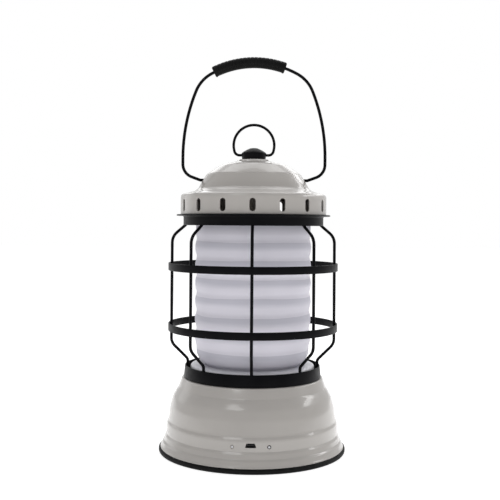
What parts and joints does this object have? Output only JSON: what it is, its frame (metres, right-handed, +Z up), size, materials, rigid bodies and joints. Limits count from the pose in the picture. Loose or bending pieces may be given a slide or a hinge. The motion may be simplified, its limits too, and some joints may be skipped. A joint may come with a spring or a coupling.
{
  "type": "camping lantern",
  "caption": "Rechargeable camping lantern: vented metal cap, ribbed frosted diffuser inside a wire cage, flared base, swinging bail with a sliding grip, and a hang ring.",
  "frame": {"origin": "on the lantern's axis at the floor, the underside of the rubber foot ring", "axes": "+Z up along the lantern's axis, -Y towards the side with the charging port, +X to the viewer's right, along the bail's pivot axis"},
  "size_m": [0.1518, 0.1518, 0.3194],
  "materials": {
    "stone_paint": "glossy warm light grey paint on steel",
    "black_paint": "satin black paint",
    "rubber": "matte black rubber",
    "frosted_plastic": "frosted translucent plastic",
    "white_plastic": "off-white plastic",
    "black_plastic": "black moulded plastic",
    "plain_steel": "plain plated steel",
    "aluminium": "bare metal",
    "silicone": "translucent silicone",
    "circuit_board": "green solder mask",
    "cell_wrap": "blue shrink wrap over a metal can",
    "led_phosphor": "yellow phosphor",
    "light_pipe": "clear moulded plastic"
  },
  "bodies": {
    "lantern": {"base_shell": "stone_paint", "vented_cap": "stone_paint", "crown_cap": "stone_paint", "cage_band_lower": "black_paint", "cage_band_upper": "black_paint", "collar_ring": "black_paint", "top_ring": "black_paint", "cage_wire_1": "black_paint", "cage_wire_2": "black_paint", "cage_wire_3": "black_paint", "cage_wire_4": "black_paint", "cage_wire_5": "black_paint", "cage_wire_6": "black_paint", "cage_wire_7": "black_paint", "cage_wire_8": "black_paint", "foot_ring": "rubber", "diffuser": "frosted_plastic", "deck": "white_plastic", "led_board": "white_plastic", "base_plate": "black_plastic", "battery_cradle": "black_plastic", "dimmer_pot": "black_plastic", "finial": "black_plastic", "base_screw_1": "plain_steel", "base_screw_2": "plain_steel", "base_screw_3": "plain_steel", "ceiling_screw_1": "plain_steel", "ceiling_screw_2": "plain_steel", "ceiling_screw_3": "plain_steel", "centre_stud": "plain_steel", "stud_sleeve": "plain_steel", "stud_nut": "plain_steel", "dimmer_nut": "plain_steel", "ceiling_plate": "plain_steel", "heat_sink": "aluminium", "usb_port": "aluminium", "lower_gasket": "silicone", "upper_gasket": "silicone", "control_board": "circuit_board", "battery_cell_front": "cell_wrap", "battery_cell_rear": "cell_wrap", "led_emitter_1": "led_phosphor", "led_emitter_2": "led_phosphor", "led_emitter_3": "led_phosphor", "led_emitter_4": "led_phosphor", "led_emitter_5": "led_phosphor", "led_emitter_6": "led_phosphor", "charge_light_pipe": "light_pipe", "power_light_pipe": "light_pipe"},
    "bail": {"bail_wire": "black_paint", "bail_retainer_left": "plain_steel", "bail_retainer_right": "plain_steel"},
    "grip": {"bail_grip": "rubber"},
    "ring": {"hang_ring": "black_paint"},
    "knob": {"dimmer_knob": "black_paint", "dimmer_shaft": "plain_steel"}
  },
  "joints": [
    {"name": "bail_swing", "type": "hinge", "parent": "lantern", "child": "bail", "pos_m": [0, 0, 0.2197], "axis": [1, 0, 0], "range_deg": [-120, 120]},
    {"name": "grip_slide", "type": "hinge", "parent": "bail", "child": "grip", "pos_m": [0, 0, 0.2418], "axis": [0, 1, 0], "range_deg": [-2, 8.5]},
    {"name": "hang_ring_swing", "type": "hinge", "parent": "lantern", "child": "ring", "pos_m": [0, 0, 0.2401], "axis": [1, 0, 0], "range_deg": [-100, 100]},
    {"name": "dimmer_knob_turn", "type": "hinge", "parent": "lantern", "child": "knob", "pos_m": [0, 0.072, 0.037], "axis": [0, -1, 0], "range_deg": [0, 300]}
  ]
}
